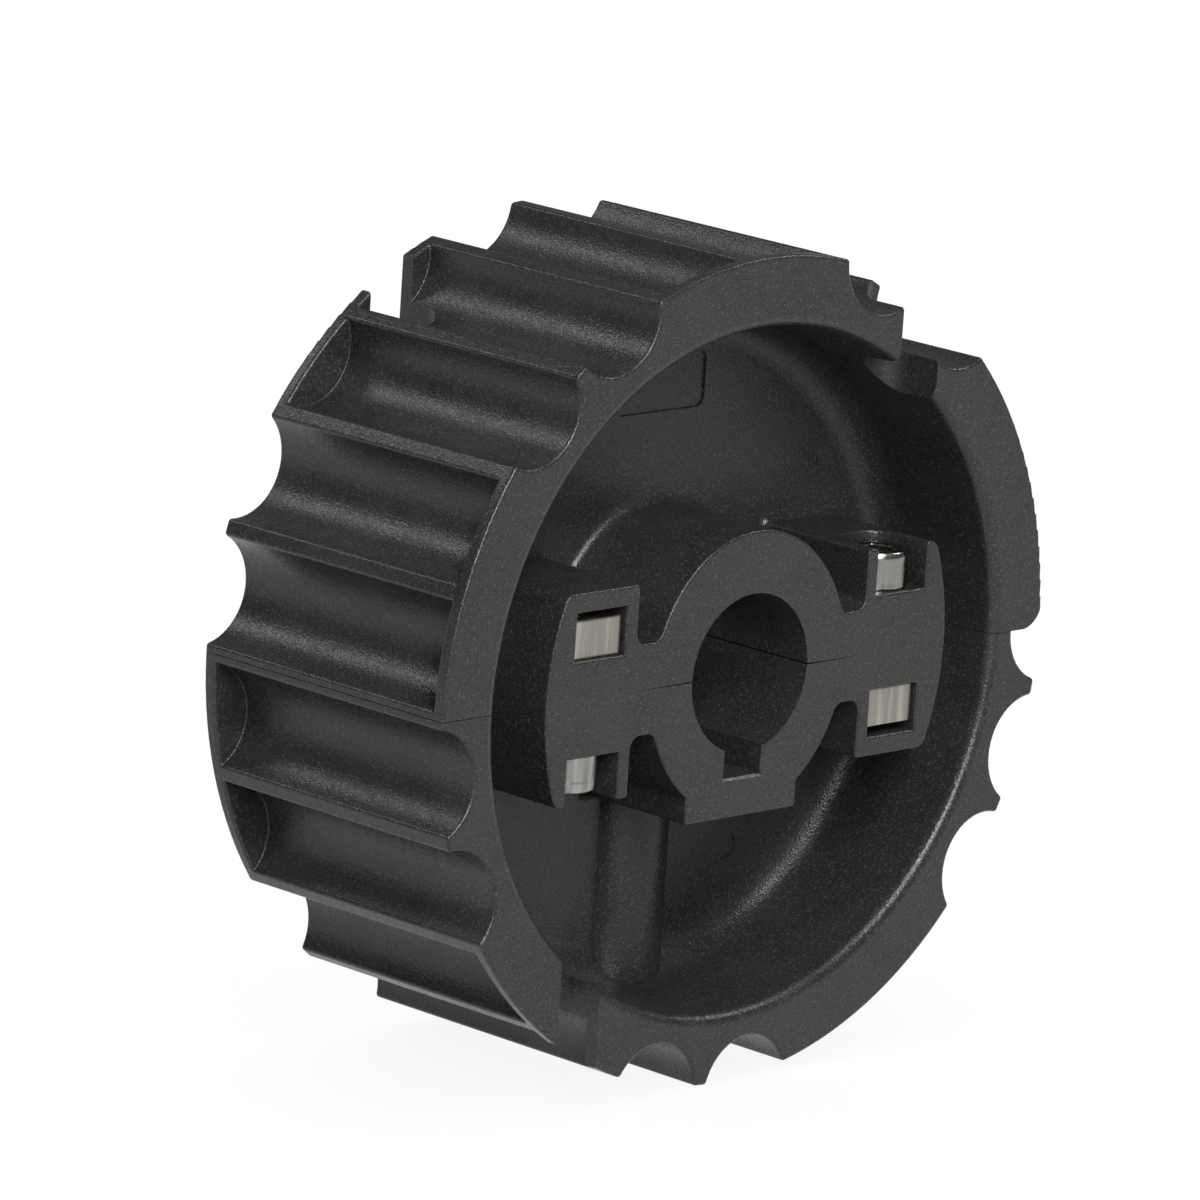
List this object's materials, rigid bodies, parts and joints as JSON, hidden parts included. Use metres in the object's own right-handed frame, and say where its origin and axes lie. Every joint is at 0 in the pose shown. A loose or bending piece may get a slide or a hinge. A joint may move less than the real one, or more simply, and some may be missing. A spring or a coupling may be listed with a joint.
{
  "type": "split conveyor chain sprocket",
  "caption": "Two-piece moulded drive sprocket for slat-top conveyor chain, clamped on a keyed shaft by socket-head screws into square nuts.",
  "frame": {"origin": "on the bore axis, halfway through the sprocket's width", "axes": "+Y along the bore, towards the back face; +Z square to the split plane, up into the half with no keyway; +X to the right seen from the front"},
  "size_m": [0.1298, 0.0528, 0.13],
  "materials": {
    "nylon_black": "satin, fine moulded grain",
    "screw_steel": "bright turned stainless",
    "nut_steel": "bright pressed stainless"
  },
  "bodies": {
    "lower_half": {"lower_half": "nylon_black", "square_nut_front_right": "nut_steel", "square_nut_back_left": "nut_steel"},
    "upper_half": {"upper_half": "nylon_black", "square_nut_front_left": "nut_steel", "square_nut_back_right": "nut_steel"},
    "screw_front_right": {"cap_screw_front_right": "screw_steel"},
    "screw_back_left": {"cap_screw_back_left": "screw_steel"},
    "screw_front_left": {"cap_screw_front_left": "screw_steel"},
    "screw_back_right": {"cap_screw_back_right": "screw_steel"}
  },
  "joints": [
    {"name": "upper_half_lift", "type": "slide", "parent": "lower_half", "child": "upper_half", "axis": [0, 0, 1], "range_m": [0, 0.06]},
    {"name": "screw_front_right_out", "type": "slide", "parent": "upper_half", "child": "screw_front_right", "axis": [0, 0, 1], "range_m": [0, 0.02]},
    {"name": "screw_back_left_out", "type": "slide", "parent": "upper_half", "child": "screw_back_left", "axis": [0, 0, 1], "range_m": [0, 0.02]},
    {"name": "screw_front_left_out", "type": "slide", "parent": "lower_half", "child": "screw_front_left", "axis": [0, 0, -1], "range_m": [0, 0.02]},
    {"name": "screw_back_right_out", "type": "slide", "parent": "lower_half", "child": "screw_back_right", "axis": [0, 0, -1], "range_m": [0, 0.02]}
  ]
}
